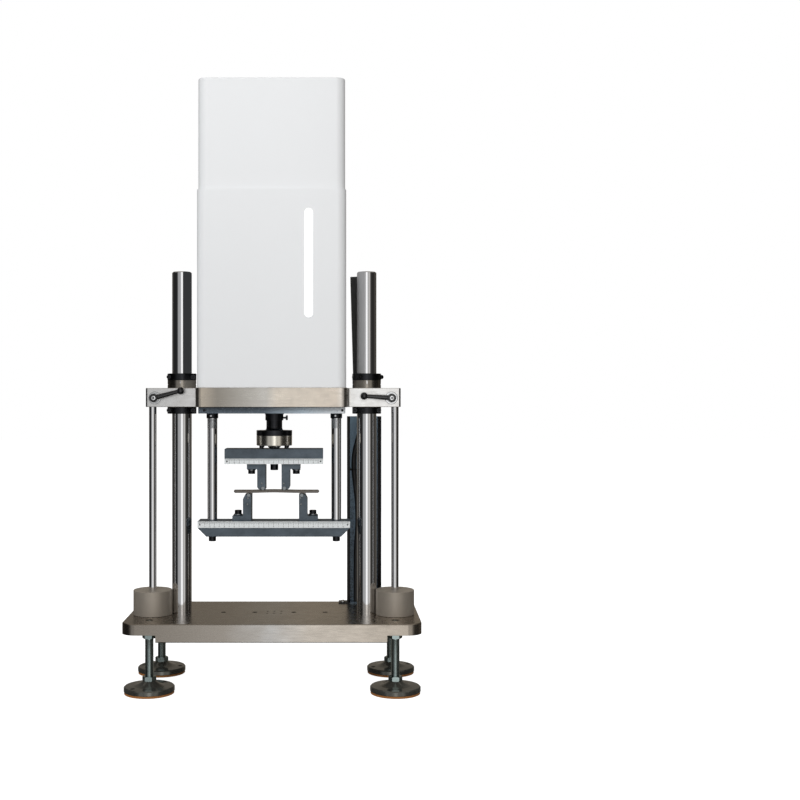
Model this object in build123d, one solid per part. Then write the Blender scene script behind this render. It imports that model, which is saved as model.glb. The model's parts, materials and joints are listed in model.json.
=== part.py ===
from build123d import *

import math
import os

os.makedirs("parts", exist_ok=True)

# A twin-column fatigue testing machine with a four-point bending fixture, in millimetres.
# The origin is on the floor under the load axis, X to the right, Y to the rear, Z up.

# Clearances between pieces
FIT = 0.02  # radial, screwed, pressed or clamped pairs
RUN = 0.05  # radial, pairs that slide or turn
GAP = 0.3  # loose seats

# Base plate on four levelling feet
base_width = 587
base_depth = 254
base_top = 143
base_thickness = 36
base_corner = 28
base_edge = 1.5
base_end_width = 68.5
base_end_thickness = 22
tapped_hole = 5.1
tapped_depth = 20
tapped_row = (-104, -40, 40, 104)
tapped_cluster_x = 14
tapped_cluster_y = 11

foot_end_inset = 50.5
foot_side_inset = 42
sole_height = 4
pad_radius = 50
pad_rim_top = 14
pad_dome_radius = 31
pad_dome_top = 24
pad_neck_radius = 12.5
pad_hole = 4.5
pad_hole_radius = 40
stud_radius = 8
stud_below_top = 3
ball_radius = 8
ball_height = 15
hex_across_flats = 24
collar_height = 9
lock_nut_height = 13

# Columns and side rods
column_radius = 20
column_x = 189.3
column_height = 697
column_edge = 2
column_seat_depth = 12
column_screw_radius = 6
column_screw_head = 9
column_screw_head_height = 12
column_screw_reach = 28

side_rod_radius = 7.5
side_rod_offset = 56.7
side_rod_y = -20
side_rod_seat_depth = 12
side_rod_below_ear = 2
socket_radius = 39
socket_height = 50

# Crosshead, its rings and clamp levers
crosshead_height = 421
crosshead_thickness = 38
ear_end = 10
ear_y = 50
bow_inset = 41.3
bow_y = 130
bow_corner = 12
ear_root = 6
ear_end_chamfer = 3.5
plate_edge = 0.8
ear_slit = 2

ring_radius = 29.5
ring_edge = 0.8
ring_height = 14
ring_split = 1.6
ring_screw_offset = 24.75
ring_screw_radius = 2.5
ring_screw_head = 4.25
ring_screw_head_height = 5
ring_screw_seat = 14
bushing_step = 0.3
spanner_hole = 2.2
bushing_height = 16
bushing_groove = 0.7
bushing_slit = 1.6
right_ring_turn = 27

lever_inset = 8.8
lever_rise = 18
lever_stud = 4
lever_stud_end = -30
washer_thickness = 4
lever_hub_radius = 8.5
lever_hub_length = 18
lever_length = 55.2
lever_arm_base = 5.2
lever_arm_tip = 3.7
lever_ball = 7.3
left_lever_angle = 15
right_lever_angle = 176

# Fixture carrier that hangs below the crosshead
under_plate_inset = 4
under_plate_y = 110
under_plate_thickness = 12.5
under_plate_corner = 4
hanging_rod_radius = 10
hanging_rod_inset = 17
hanging_rod_free = 219.5
hanging_rod_top_depth = 20
hanging_rod_seat = 14
rod_nut_radius = 12
rod_nut_height = 11
beam_screw_radius = 5
beam_screw_head = 7.5
beam_screw_head_height = 12
beam_screw_reach = 20
hex_socket = 4.6
hex_socket_depth = 6

lower_beam_height = 31
lower_beam_end = 27.5
lower_beam_depth = 56
lower_beam_chamfer = 18
lower_scale_height = 13
scale_thickness = 1
scale_hole = 1.6
scale_hole_inset = 5

upper_beam_height = 31
upper_beam_length = 200
upper_beam_depth = 50
upper_scale_height = 11

slot_width = 8.4
slot_neck = 8
slot_tee_width = 15
slot_tee_height = 7

# Noses that carry the rollers
nose_depth = 40
roller_radius = 4
roller_length = 36
roller_edge = 0.5
lower_roller_rise = 52.2
upper_roller_drop = 49.6
upper_roller_x = (-22.5, 21)
upper_arm_height = 10.5
upper_arm_reach = 32.5
upper_leg_inner = 5.5
upper_leg_outer = 11.5
upper_leg_below_roller = 2
upper_leg_round = 6
nose_root = 2.5
upper_clamp_offset = 24
lower_roller_x = (-51.5, 56.5)
lower_arm_height = 10
lower_arm_reach = 33
lower_leg_inner = 5.5
lower_leg_outer = 11.5
lower_leg_chamfer = 9
lower_leg_above_roller = 1.5
lower_clamp_offset = 22.5
clamp_shank = 4
clamp_head = 7
clamp_head_height = 8
clamp_washer = 8.6
clamp_washer_height = 2.4
clamp_socket = 4

# Specimen, a flat bar that has begun to bow between the rollers
bar_left = -82
bar_right = 92
bar_thickness = 5
bar_depth = 25
bar_bow = 1.0
bar_bow_reach = 50
bar_end_chamfer = 2.4

# Load train on the axis
rod_end_radius = 16.25
rod_end_headroom = 0.5
rod_end_clearance = 1
adapter_floor = 9
adapter_fillet = 5
adapter_hub = 7
flange_radius = 36.5
flange_thickness = 10
load_cell_radius = 36.5
load_cell_height = 21
cell_bolt_circle = 29.5
cell_bolt_radius = 2.6
cell_bolt_head = 4.4
cell_bolt_head_height = 4.5
cell_bolt_reach = 26
cell_bolt_count = 6
ball_stud_height = 6
ball_stud_radius = 13
ball_stud_foot = 9
beam_bolt_radius = 5
beam_bolt_head = 8
beam_bolt_head_height = 13.5
beam_bolt_reach = 3
piston_radius = 12.5
collar_radius = 18.4
collar_bore = 16.6
collar_drop = 15
collar_lip = 3
lock_screw_drop = 9.8
lock_screw_radius = 2
lock_screw_neck = 7
lock_screw_head = 5
lock_screw_head_length = 4

# Drive inside the covers
guide_bush_radius = 22
guide_bush_length = 28
housing_radius = 45
housing_bore = 33
housing_flange = 68
housing_flange_height = 12
housing_height = 250
housing_roof = 6
nut_radius = 23
nut_height = 46
nut_rise = 88
screw_radius = 8
screw_drop = 2
stroke = 14
piston_bore = 9.5
piston_bore_spare = 4
journal_radius = 7
bearing_radius = 17
bearing_height = 16
bearing_seat = 2
mount_radius = 45
mount_height = 85
mount_wall = 9
mount_floor = 22
mount_window = 44
mount_window_sill = 6
mount_window_head = 12
coupling_radius = 18
coupling_height = 42
coupling_lift = 14
coupling_grooves = 4
coupling_groove_depth = 4
motor_width = 110
motor_height = 150
motor_corner = 12
motor_flange = 14
motor_fin_gap = 3
motor_fin_pitch = 20
motor_fin_count = 6
motor_shaft_radius = 9.5
motor_shaft_reach = 60

# Covers
cover_wall = 2.5
cover_corner = 16
cover_side_inset = 2.5
cover_front_inset = 3
lower_cover_height = 386
upper_cover_side_step = 2
upper_cover_front_step = 6
upper_cover_height = 218
cover_lip = 22
cover_edge = 3
light_x = 72.5
light_width = 17
light_length = 212
light_rise = 136
light_flange = 1.5
light_lip = 3
light_stand = 1

# Rear cable duct on the base and cable guard on the crosshead
duct_gap = 3
duct_width = 73
duct_depth = 26.5
duct_back_inset = 0.5
duct_height = 400
duct_wall = 2.5
duct_foot = 18
cable_radius = 5
cable_from_left = 19
cable_from_back = 14.5
guard_width = 46
guard_offset = -26.3
guard_gap = 2.5
guard_depth = 14
guard_height = 232
guard_wall = 2
guard_lean = 1.6

# Heights and places that follow from the sizes above
base_low = base_top - base_thickness
base_end_low = base_top - base_end_thickness
base_relief_x = base_width / 2 - base_end_width
foot_x = base_width / 2 - foot_end_inset
foot_y = base_depth / 2 - foot_side_inset
stud_top = base_top - stud_below_top
column_top = base_top + column_height
column_seat = base_top - column_seat_depth
side_rod_x = column_x + side_rod_offset
rod_seat = base_top - side_rod_seat_depth

crosshead_low = base_top + crosshead_height
crosshead_top = crosshead_low + crosshead_thickness
ear_x = side_rod_x + ear_end
bow_x = column_x - bow_inset
lever_x = side_rod_x - lever_inset
lever_z = crosshead_low + lever_rise
bushing_radius = ring_radius - bushing_step
under_plate_x = bow_x - under_plate_inset
under_plate_low = crosshead_low - under_plate_thickness
hanging_rod_x = under_plate_x - hanging_rod_inset

lower_beam_top = under_plate_low - hanging_rod_free
lower_beam_low = lower_beam_top - lower_beam_height
lower_beam_length = 2 * (hanging_rod_x + lower_beam_end)
lower_roller_z = lower_beam_top + lower_roller_rise
bar_low = lower_roller_z + roller_radius + GAP
bar_top = bar_low + bar_thickness
bow_share = min(abs(x) for x in upper_roller_x) / bar_bow_reach
bar_rise = bar_bow * (1 - 3 * bow_share**2 + 2 * bow_share**3)
upper_roller_z = bar_top + bar_rise + GAP + roller_radius
upper_beam_low = upper_roller_z + upper_roller_drop
upper_beam_top = upper_beam_low + upper_beam_height
load_cell_low = upper_beam_top + ball_stud_height
load_cell_top = load_cell_low + load_cell_height
adapter_flange_top = load_cell_top + flange_thickness
adapter_top = adapter_flange_top + adapter_hub
rod_end_top = under_plate_low - rod_end_headroom
piston_low = load_cell_top + adapter_floor
lock_screw_z = under_plate_low - lock_screw_drop

nut_low = crosshead_top + nut_rise
screw_low = crosshead_top - screw_drop
housing_top = crosshead_top + housing_height
mount_top = housing_top + mount_height
coupling_low = housing_top + mount_floor + coupling_lift
coupling_middle = coupling_low + coupling_height / 2
lower_cover_x = bow_x - cover_side_inset
lower_cover_y = bow_y - cover_front_inset
lower_cover_top = crosshead_top + lower_cover_height
upper_cover_x = lower_cover_x - upper_cover_side_step
upper_cover_y = lower_cover_y - upper_cover_front_step

duct_left = bow_x + duct_gap
duct_right = duct_left + duct_width
duct_back = base_depth / 2 - duct_back_inset
duct_front = duct_back - duct_depth
cable_x = duct_left + cable_from_left
cable_y = duct_back - cable_from_back
guard_left = column_x + guard_offset
guard_front = ring_radius + guard_gap


def upright(radius, low, high, x=0.0, y=0.0):
    """Vertical cylinder between two heights."""
    return Pos(x, y, (low + high) / 2) * Cylinder(radius, high - low)


def along_y(radius, front, back, x, z):
    """Cylinder along Y between two depths."""
    return Pos(x, (front + back) / 2, z) * Rot(90, 0, 0) * Cylinder(radius, back - front)


def along_x(radius, left, right, y, z):
    """Cylinder along X between two places."""
    return Pos((left + right) / 2, y, z) * Rot(0, 90, 0) * Cylinder(radius, right - left)


def block(x_range, y_range, z_range):
    """Box between three pairs of places."""
    spans = (x_range, y_range, z_range)
    size = [high - low for low, high in spans]
    middle = [(high + low) / 2 for low, high in spans]
    return Pos(*middle) * Box(*size)


def slab(x_half, y_half, low, high, corner):
    """Upright plate with rounded plan corners, centred on the axis."""
    plan = Pos(0, 0, low) * RectangleRounded(2 * x_half, 2 * y_half, corner)
    return extrude(plan, amount=high - low)


def hexagon(across_flats, low, high, x, y):
    """Hexagon with its corners turned off, as on a nut."""
    plan = Pos(x, y, low) * RegularPolygon(across_flats / 2, 6, major_radius=False)
    corner = across_flats / 2 / math.cos(math.pi / 6)
    blank = upright(corner, low, high, x, y)
    blank = chamfer(blank.edges().filter_by(GeomType.CIRCLE), across_flats / 20)
    return extrude(plan, amount=high - low) & blank


def turned(points, x=0.0, y=0.0):
    """Solid of revolution about a vertical axis from radius and height points."""
    outline = make_face(Plane.XZ * Polyline(*points, close=True))
    return Pos(x, y, 0) * revolve(outline, Axis.Z)


def profile_y(points, front, back):
    """Plate with an outline in X and Z, between two depths."""
    face = make_face(Plane.XZ * Polyline(*points, close=True))
    return Pos(0, back, 0) * extrude(face, amount=back - front, dir=(0, -1, 0))


def rounded_top(solid, size):
    """Chamfers the outline of a plate at its top and bottom."""
    layers = solid.edges().group_by(Axis.Z)
    return chamfer(layers[-1] + layers[0], size)


def save(node, *solids):
    """Writes one node, as a group where it has several solids."""
    shape = solids[0] if len(solids) == 1 else Compound(children=list(solids))
    export_step(shape, f"parts/{node}.step")


SIDES = (-1, 1)
NAMES = {-1: "left", 1: "right"}


def base_plate():
    plate = rounded_top(slab(base_width / 2, base_depth / 2, base_low, base_top, base_corner), base_edge)
    for side in SIDES:
        ends = sorted((side * base_relief_x, side * base_width))
        plate -= block(ends, (-base_depth, base_depth), (base_low - 1, base_end_low))
        x = side * column_x
        counterbore = base_low + column_screw_head_height + 1
        plate -= upright(column_radius + FIT, column_seat, base_top + 1, x)
        plate -= upright(column_screw_radius + GAP, base_low - 1, column_seat + 1, x)
        plate -= upright(column_screw_head + GAP, base_low - 1, counterbore, x)
        plate -= upright(side_rod_radius + FIT, rod_seat, base_top + 1, side * side_rod_x, side_rod_y)
        for y in (-foot_y, foot_y):
            plate -= upright(stud_radius + RUN, base_low - 1, base_top + 1, side * foot_x, y)
    bottom = base_top - tapped_depth
    for x in tapped_row:
        plate -= upright(tapped_hole, bottom, base_top + 1, x)
    for x in (-tapped_cluster_x, 0, tapped_cluster_x):
        for y in (-tapped_cluster_y, tapped_cluster_y):
            plate -= upright(tapped_hole / 2, bottom, base_top + 1, x, y)
    return plate


def columns():
    made = []
    for side in SIDES:
        column = upright(column_radius, column_seat, column_top, side * column_x)
        column = chamfer(column.edges().group_by(Axis.Z)[-1], column_edge)
        reach = column_seat + column_screw_reach + 1
        made.append(column - upright(column_screw_radius + FIT, column_seat - 1, reach, side * column_x))
    return made


def column_screws():
    shoulder = base_low + column_screw_head_height + 1
    made = []
    for side in SIDES:
        head = upright(column_screw_head, base_low + 1, shoulder, side * column_x)
        shank = upright(column_screw_radius, shoulder, column_seat + column_screw_reach, side * column_x)
        made.append(head + shank)
    return made


def side_rods():
    top = crosshead_top - side_rod_below_ear
    rods = [upright(side_rod_radius, rod_seat, top, side * side_rod_x, side_rod_y) for side in SIDES]
    return [chamfer(rod.edges().group_by(Axis.Z)[-1], 1) for rod in rods]


def rod_sockets():
    made = []
    for side in SIDES:
        place = (side * side_rod_x, side_rod_y)
        socket = upright(socket_radius, base_top, base_top + socket_height, *place)
        socket = chamfer(socket.edges().filter_by(GeomType.CIRCLE), 0.8)
        made.append(socket - upright(side_rod_radius + FIT, base_top - 1, column_top, *place))
    return made


FEET = {
    "front_left": (-foot_x, -foot_y, 45),
    "front_right": (foot_x, -foot_y, 70),
    "rear_left": (-foot_x, foot_y, -6),
    "rear_right": (foot_x, foot_y, 20),
}


def foot_pad(x, y, turn):
    """Cast pad with a ball socket, on a bonded sole, with two anchor holes."""
    mouth = pad_dome_top - GAP
    rim = (pad_radius, pad_rim_top - 2)
    slope = [
        (0, sole_height),
        (pad_radius - 1, sole_height),
        (pad_radius, sole_height + 1),
        rim,
        (pad_radius - 2, pad_rim_top),
        (pad_dome_radius, pad_rim_top + 1),
    ]
    lower = Polyline(*slope)
    hill_middle = ((pad_dome_radius + pad_neck_radius) / 2 - 1, (pad_rim_top + 1 + mouth) / 2 - 1)
    hill = ThreePointArc(slope[-1], hill_middle, (pad_neck_radius, mouth))
    closing = Polyline((pad_neck_radius, mouth), (0, mouth), slope[0])
    pad = revolve(make_face(Plane.XZ * (Curve() + [lower, hill, closing])), Axis.Z)
    pad -= Pos(0, 0, ball_height) * Sphere(ball_radius + RUN)
    pad -= upright(ball_radius + RUN, ball_height, pad_dome_top + 1)
    sole = upright(pad_radius - 1, 0, sole_height)
    for angle in (turn, turn + 180):
        hole = Rot(0, 0, angle) * Pos(pad_hole_radius, 0, 0) * upright(pad_hole, -1, pad_dome_top)
        pad -= hole
        sole -= hole
    return [Pos(x, y, 0) * pad, Pos(x, y, 0) * sole]


def foot_stud(x, y):
    """Levelling stud with a ball end, a hexagon collar and a long thread."""
    ball = Pos(x, y, ball_height) * Sphere(ball_radius)
    neck = upright(ball_radius, ball_height, pad_dome_top, x, y)
    collar = hexagon(hex_across_flats, pad_dome_top, pad_dome_top + collar_height, x, y)
    shank = upright(stud_radius, pad_dome_top + collar_height, stud_top, x, y)
    return ball + neck + collar + shank


def foot_lock_nuts():
    made = []
    for x, y, _ in FEET.values():
        nut = hexagon(hex_across_flats, base_end_low - lock_nut_height, base_end_low, x, y)
        made.append(nut - upright(stud_radius + RUN, base_low - lock_nut_height, base_top, x, y))
    return made


def beside(edge, x, y):
    """True for an upright edge at one of the four mirrored places."""
    middle = edge.center()
    return abs(abs(middle.X) - x) < 0.1 and abs(abs(middle.Y) - y) < 0.1


def crosshead():
    """Plate with a bow at front and rear for the drive and an ear for each column."""
    ears = block((-ear_x, ear_x), (-ear_y, ear_y), (crosshead_low, crosshead_top))
    bow = block((-bow_x, bow_x), (-bow_y, bow_y), (crosshead_low, crosshead_top))
    plate = ears + bow
    outer = [e for e in plate.edges().filter_by(Axis.Z) if abs(abs(e.center().Y) - bow_y) < 1]
    plate = fillet(outer, bow_corner)
    inner = [e for e in plate.edges().filter_by(Axis.Z) if beside(e, bow_x, ear_y)]
    plate = fillet(inner, ear_root)
    ends = [e for e in plate.edges().filter_by(Axis.Z) if abs(abs(e.center().X) - ear_x) < 1]
    plate = rounded_top(chamfer(ends, ear_end_chamfer), plate_edge)
    deep = crosshead_low - 1
    high = crosshead_top + 1
    for side in SIDES:
        plate -= upright(column_radius + RUN, deep, high, side * column_x)
        plate -= upright(side_rod_radius + RUN, deep, high, side * side_rod_x, side_rod_y)
        rod_end = crosshead_low + hanging_rod_top_depth
        plate -= upright(hanging_rod_radius + FIT, deep, rod_end, side * hanging_rod_x)
        plate -= along_y(lever_stud + RUN, -ear_y - 1, lever_stud_end + 1, side * lever_x, lever_z)
        slit = sorted((side * side_rod_x, side * (ear_x + 1)))
        plate -= block(slit, (side_rod_y - ear_slit / 2, side_rod_y + ear_slit / 2), (deep, high))
    plate -= upright(guide_bush_radius + FIT, crosshead_top - guide_bush_length, high)
    plate -= upright(rod_end_radius + rod_end_clearance, deep, high)
    return plate


def column_bushings():
    """Clamped bushing above each ear, with a groove, a slit and a spanner hole."""
    made = []
    top = crosshead_top + bushing_height
    middle = (crosshead_top + top) / 2
    for side in SIDES:
        x = side * column_x
        ring = upright(bushing_radius, crosshead_top, top, x) - upright(column_radius + RUN, 0, top + 1, x)
        groove = upright(bushing_radius + 1, middle - bushing_groove, middle + bushing_groove, x)
        ring -= groove - upright(bushing_radius - bushing_groove, 0, top, x)
        slit = block((-bushing_slit / 2, bushing_slit / 2), (-ring_radius - 1, 0), (middle, top + 1))
        ring -= Pos(x, 0, 0) * slit
        hole_z = middle + bushing_height / 4
        ring -= along_y(spanner_hole, -ring_radius - 1, -(ring_radius + column_radius) / 2, x, hole_z)
        made.append(ring)
    return made


def ring_places():
    """X, lowest height and turn of each split clamp ring."""
    upper = crosshead_top + bushing_height
    lower = crosshead_low - ring_height
    return [
        (-column_x, upper, 0),
        (column_x, upper, right_ring_turn),
        (-column_x, lower, 0),
        (column_x, lower, 0),
    ]


def clamp_rings():
    """Each ring is two halves, drawn together by two screws."""
    made = []
    for x, low, turn in ring_places():
        ring = upright(ring_radius, low, low + ring_height)
        ring = chamfer(ring.edges().filter_by(GeomType.CIRCLE), ring_edge)
        ring -= upright(column_radius + RUN, low - 1, low + ring_height + 1)
        heights = (low - 1, low + ring_height + 1)
        ring -= block((-ring_radius - 1, ring_radius + 1), (-ring_split / 2, ring_split / 2), heights)
        for side in SIDES:
            z = low + ring_height / 2
            offset = side * ring_screw_offset
            ring -= along_y(ring_screw_radius + FIT, -ring_screw_seat, ring_screw_seat, offset, z)
            ring -= along_y(ring_screw_head + GAP, -ring_radius, -ring_screw_seat, offset, z)
        made += list((Pos(x, 0, 0) * Rot(0, 0, turn) * ring).solids())
    return made


def ring_screws():
    made = []
    for x, low, turn in ring_places():
        for side in SIDES:
            z = low + ring_height / 2
            offset = side * ring_screw_offset
            shank = along_y(ring_screw_radius, -ring_screw_seat, ring_screw_seat - 1, offset, z)
            head_front = -ring_screw_seat - ring_screw_head_height
            head = along_y(ring_screw_head, head_front, -ring_screw_seat, offset, z)
            made.append(Pos(x, 0, 0) * Rot(0, 0, turn) * (head + shank))
    return made


def lever(side, angle):
    """Clamp lever with its threaded stud, hub, tapering arm and ball."""
    hub_back = -ear_y - washer_thickness - GAP
    hub_front = hub_back - lever_hub_length
    hub = along_y(lever_hub_radius, hub_front, hub_back, 0, 0)
    hub = chamfer(hub.edges().filter_by(GeomType.CIRCLE), lever_hub_radius / 8)
    stud = along_y(lever_stud, hub_front + lever_stud, lever_stud_end, 0, 0)
    arm_y = hub_front + lever_ball
    along = (Align.CENTER, Align.CENTER, Align.MIN)
    arm = Cone(lever_arm_base, lever_arm_tip, lever_length, align=along)
    ball = Pos(lever_length, arm_y, 0) * Sphere(lever_ball)
    arm = Pos(0, arm_y, 0) * Rot(0, 90, 0) * arm
    return Pos(side * lever_x, 0, lever_z) * Rot(0, -angle, 0) * (hub + stud + arm + ball)


def under_plate():
    plate = block(
        (-under_plate_x, under_plate_x),
        (-under_plate_y, under_plate_y),
        (under_plate_low, crosshead_low),
    )
    plate = rounded_top(fillet(plate.edges().filter_by(Axis.Z), under_plate_corner), plate_edge)
    through = (under_plate_low - 1, crosshead_low + 1)
    plate -= upright(rod_end_radius + rod_end_clearance, *through)
    for side in SIDES:
        plate -= upright(hanging_rod_radius + FIT, *through, side * hanging_rod_x)
    return plate


def hanging_rods():
    low = lower_beam_top - hanging_rod_seat
    top = crosshead_low + hanging_rod_top_depth
    made = []
    for side in SIDES:
        x = side * hanging_rod_x
        rod = upright(hanging_rod_radius, low, top, x)
        rod = chamfer(rod.edges().group_by(Axis.Z)[-1], 1)
        made.append(rod - upright(beam_screw_radius + FIT, low - 1, low + beam_screw_reach + 1, x))
    return made


def rod_lock_nuts():
    low = under_plate_low - rod_nut_height
    made = []
    for side in SIDES:
        nut = upright(rod_nut_radius, low, under_plate_low, side * hanging_rod_x)
        nut = chamfer(nut.edges().filter_by(GeomType.CIRCLE), 0.6)
        made.append(nut - upright(hanging_rod_radius + FIT, low - 1, crosshead_low, side * hanging_rod_x))
    return made


def socket_head(radius, low, high):
    """Head of a cap screw on the axis, with its hexagon socket below."""
    head = upright(radius, low, high)
    head = chamfer(head.edges().group_by(Axis.Z)[0], radius / 10)
    return head - Pos(0, 0, low) * extrude(RegularPolygon(hex_socket, 6), amount=hex_socket_depth)


def hanging_rod_screws():
    low = lower_beam_low - beam_screw_head_height
    reach = lower_beam_top - hanging_rod_seat + beam_screw_reach
    made = []
    for side in SIDES:
        x = side * hanging_rod_x
        head = Pos(x, 0, 0) * socket_head(beam_screw_head, low, lower_beam_low)
        made.append(head + upright(beam_screw_radius, lower_beam_low, reach, x))
    return made


def tee_slot(length, mouth, inward):
    """Slot along X for the nose clamp bolts; inward is 1 up or -1 down from the mouth."""
    neck = sorted((mouth - inward, mouth + inward * slot_neck))
    tee = sorted((mouth + inward * slot_neck, mouth + inward * (slot_neck + slot_tee_height)))
    reach = (-length, length)
    slot = block(reach, (-slot_width / 2, slot_width / 2), neck)
    return slot + block(reach, (-slot_tee_width / 2, slot_tee_width / 2), tee)


def lower_beam():
    half = lower_beam_length / 2
    points = [
        (-half, lower_beam_top),
        (half, lower_beam_top),
        (half, lower_beam_low + lower_beam_chamfer),
        (half - lower_beam_chamfer, lower_beam_low),
        (-half + lower_beam_chamfer, lower_beam_low),
        (-half, lower_beam_low + lower_beam_chamfer),
    ]
    beam = profile_y(points, -lower_beam_depth / 2, lower_beam_depth / 2)
    beam = chamfer(beam.edges().filter_by(Axis.X), plate_edge)
    beam -= tee_slot(lower_beam_length, lower_beam_top, -1)
    for side in SIDES:
        x = side * hanging_rod_x
        beam -= upright(hanging_rod_radius + FIT, lower_beam_top - hanging_rod_seat, lower_beam_top + 1, x)
        beam -= upright(beam_screw_radius + FIT, lower_beam_low - 1, lower_beam_top, x)
    return beam


def upper_beam():
    half = upper_beam_length / 2
    half_depth = upper_beam_depth / 2
    beam = block((-half, half), (-half_depth, half_depth), (upper_beam_low, upper_beam_top))
    beam = chamfer(beam.edges().filter_by(Axis.X) + beam.edges().filter_by(Axis.Y), plate_edge)
    beam -= tee_slot(upper_beam_length, upper_beam_low, 1)
    return beam - upright(beam_bolt_radius + FIT, upper_beam_low - 1, upper_beam_top + 1)


def scale(length, beam_depth, low, height):
    """Graduated strip fixed to the front of a beam."""
    front = -beam_depth / 2 - scale_thickness
    strip = block((-length / 2, length / 2), (front, -beam_depth / 2), (low, low + height))
    for side in SIDES:
        x = side * (length / 2 - scale_hole_inset)
        strip -= along_y(scale_hole, front - 1, 0, x, low + height / 2)
    return strip


def clamp_bolt(x, face, arm_top, outward):
    """Screw through a nose arm into a nut in the tee slot; outward is -1 down or 1 up."""
    washer_end = arm_top + outward * clamp_washer_height
    head_end = washer_end + outward * clamp_head_height
    nut_start = face - outward * (slot_neck + GAP)
    nut_end = face - outward * (slot_neck + slot_tee_height - GAP)
    washer = upright(clamp_washer, *sorted((arm_top, washer_end)), x)
    head = upright(clamp_head, *sorted((washer_end, head_end)), x)
    floor = Pos(x, 0, head_end - outward * clamp_socket)
    upward = Rot(0, 0 if outward > 0 else 180, 0)
    head -= floor * upward * extrude(RegularPolygon(clamp_socket, 6), amount=clamp_socket + 1)
    shank = upright(clamp_shank, *sorted((washer_end, nut_end)), x)
    half = slot_tee_width / 2 - GAP
    nut = block((x - half, x + half), (-half, half), sorted((nut_start, nut_end)))
    return washer + head + shank + nut


def edge_at(solid, x, z):
    """Edges along Y at one place in X and Z."""
    edges = solid.edges().filter_by(Axis.Y)
    return [e for e in edges if abs(e.center().X - x) < 0.1 and abs(e.center().Z - z) < 0.1]


def upper_nose(side, roller_x):
    """Bracket with a foot under the beam and a leg that holds the roller, and its clamp bolt."""
    arm_low = upper_beam_low - upper_arm_height
    tip = upper_roller_z - upper_leg_below_roller
    inner = -upper_leg_inner
    points = [
        (inner, upper_beam_low),
        (upper_arm_reach, upper_beam_low),
        (upper_arm_reach, arm_low),
        (upper_leg_outer, arm_low),
        (upper_leg_outer, tip),
        (inner, tip),
    ]
    bracket = profile_y(points, -nose_depth / 2, nose_depth / 2)
    bracket = fillet(edge_at(bracket, upper_leg_outer, tip), upper_leg_round)
    bracket = fillet(edge_at(bracket, upper_leg_outer, arm_low), nose_root)
    bracket -= along_y(roller_radius + RUN, -nose_depth, nose_depth, 0, upper_roller_z)
    bracket -= upright(clamp_shank + FIT, arm_low - 1, upper_beam_low + 1, upper_clamp_offset)
    bolt = clamp_bolt(upper_clamp_offset, upper_beam_low, arm_low, -1)
    return placed(side, roller_x, bracket, bolt)


def lower_nose(side, roller_x):
    """Bracket with a foot on the beam and a leg up to the roller, and its clamp bolt."""
    arm_top = lower_beam_top + lower_arm_height
    tip = lower_roller_z + lower_leg_above_roller
    inner = -lower_leg_inner
    points = [
        (inner, lower_beam_top),
        (lower_arm_reach, lower_beam_top),
        (lower_arm_reach, arm_top),
        (lower_leg_outer, arm_top),
        (lower_leg_outer, tip - lower_leg_chamfer),
        (lower_leg_outer - lower_leg_chamfer / 2, tip),
        (inner, tip),
    ]
    bracket = profile_y(points, -nose_depth / 2, nose_depth / 2)
    bracket = fillet(edge_at(bracket, lower_leg_outer, arm_top), nose_root)
    bracket -= along_y(roller_radius + RUN, -nose_depth, nose_depth, 0, lower_roller_z)
    bracket -= upright(clamp_shank + FIT, lower_beam_top - 1, arm_top + 1, lower_clamp_offset)
    bolt = clamp_bolt(lower_clamp_offset, lower_beam_top, arm_top, 1)
    return placed(side, roller_x, bracket, bolt)


def placed(side, x, *solids):
    """Puts pieces drawn for the right side at X, mirrored for the left."""
    if side < 0:
        solids = [mirror(solid, Plane.YZ) for solid in solids]
    return [Pos(x, 0, 0) * solid for solid in solids]


def roller(x, z):
    body = along_y(roller_radius, -roller_length / 2, roller_length / 2, x, z)
    return chamfer(body.edges().filter_by(GeomType.CIRCLE), roller_edge)


def specimen():
    """Flat bar, straight outside the supports and bowed up by a little between them."""

    def edge(z):
        rise = [(-bar_bow_reach, z), (0, z + bar_bow), (bar_bow_reach, z)]
        bow = Spline(*rise, tangents=[(1, 0), (1, 0)])
        return [Line((bar_left, z), rise[0]), bow, Line(rise[-1], (bar_right, z))]

    ends = [Line((x, bar_low), (x, bar_top)) for x in (bar_left, bar_right)]
    outline = make_face(Plane.XZ * (Curve() + edge(bar_low) + edge(bar_top) + ends))
    bar = Pos(0, bar_depth / 2, 0) * extrude(outline, amount=bar_depth, dir=(0, -1, 0))
    right_end = edge_at(bar, bar_right, bar_low) + edge_at(bar, bar_right, bar_top)
    return chamfer(edge_at(bar, bar_left, bar_low) + right_end, bar_end_chamfer)


def load_cell_adapter():
    """Flange with a short hub that screws onto the rod's spigot."""
    hub = upright(rod_end_radius, load_cell_top, adapter_top)
    flange = upright(flange_radius, load_cell_top, adapter_flange_top)
    body = hub + flange
    root = [
        e
        for e in body.edges().filter_by(GeomType.CIRCLE)
        if abs(e.radius - rod_end_radius) < 0.1 and abs(e.center().Z - adapter_flange_top) < 0.1
    ]
    body = fillet(root, adapter_fillet)
    body -= upright(piston_radius + FIT, piston_low, adapter_top + 1)
    for place in cell_bolt_places():
        body -= upright(cell_bolt_radius + FIT, load_cell_top - 1, adapter_flange_top - 2, *place)
    return body


def cell_bolt_places():
    angles = [math.tau * (k + 0.5) / cell_bolt_count for k in range(cell_bolt_count)]
    return [(cell_bolt_circle * math.cos(a), cell_bolt_circle * math.sin(a)) for a in angles]


def load_cell():
    cell = upright(load_cell_radius, load_cell_low, load_cell_top)
    cell = chamfer(cell.edges().filter_by(GeomType.CIRCLE), 0.8)
    for place in cell_bolt_places():
        cell -= upright(cell_bolt_radius + FIT, load_cell_low - 1, load_cell_top + 1, *place)
    return cell


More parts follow.
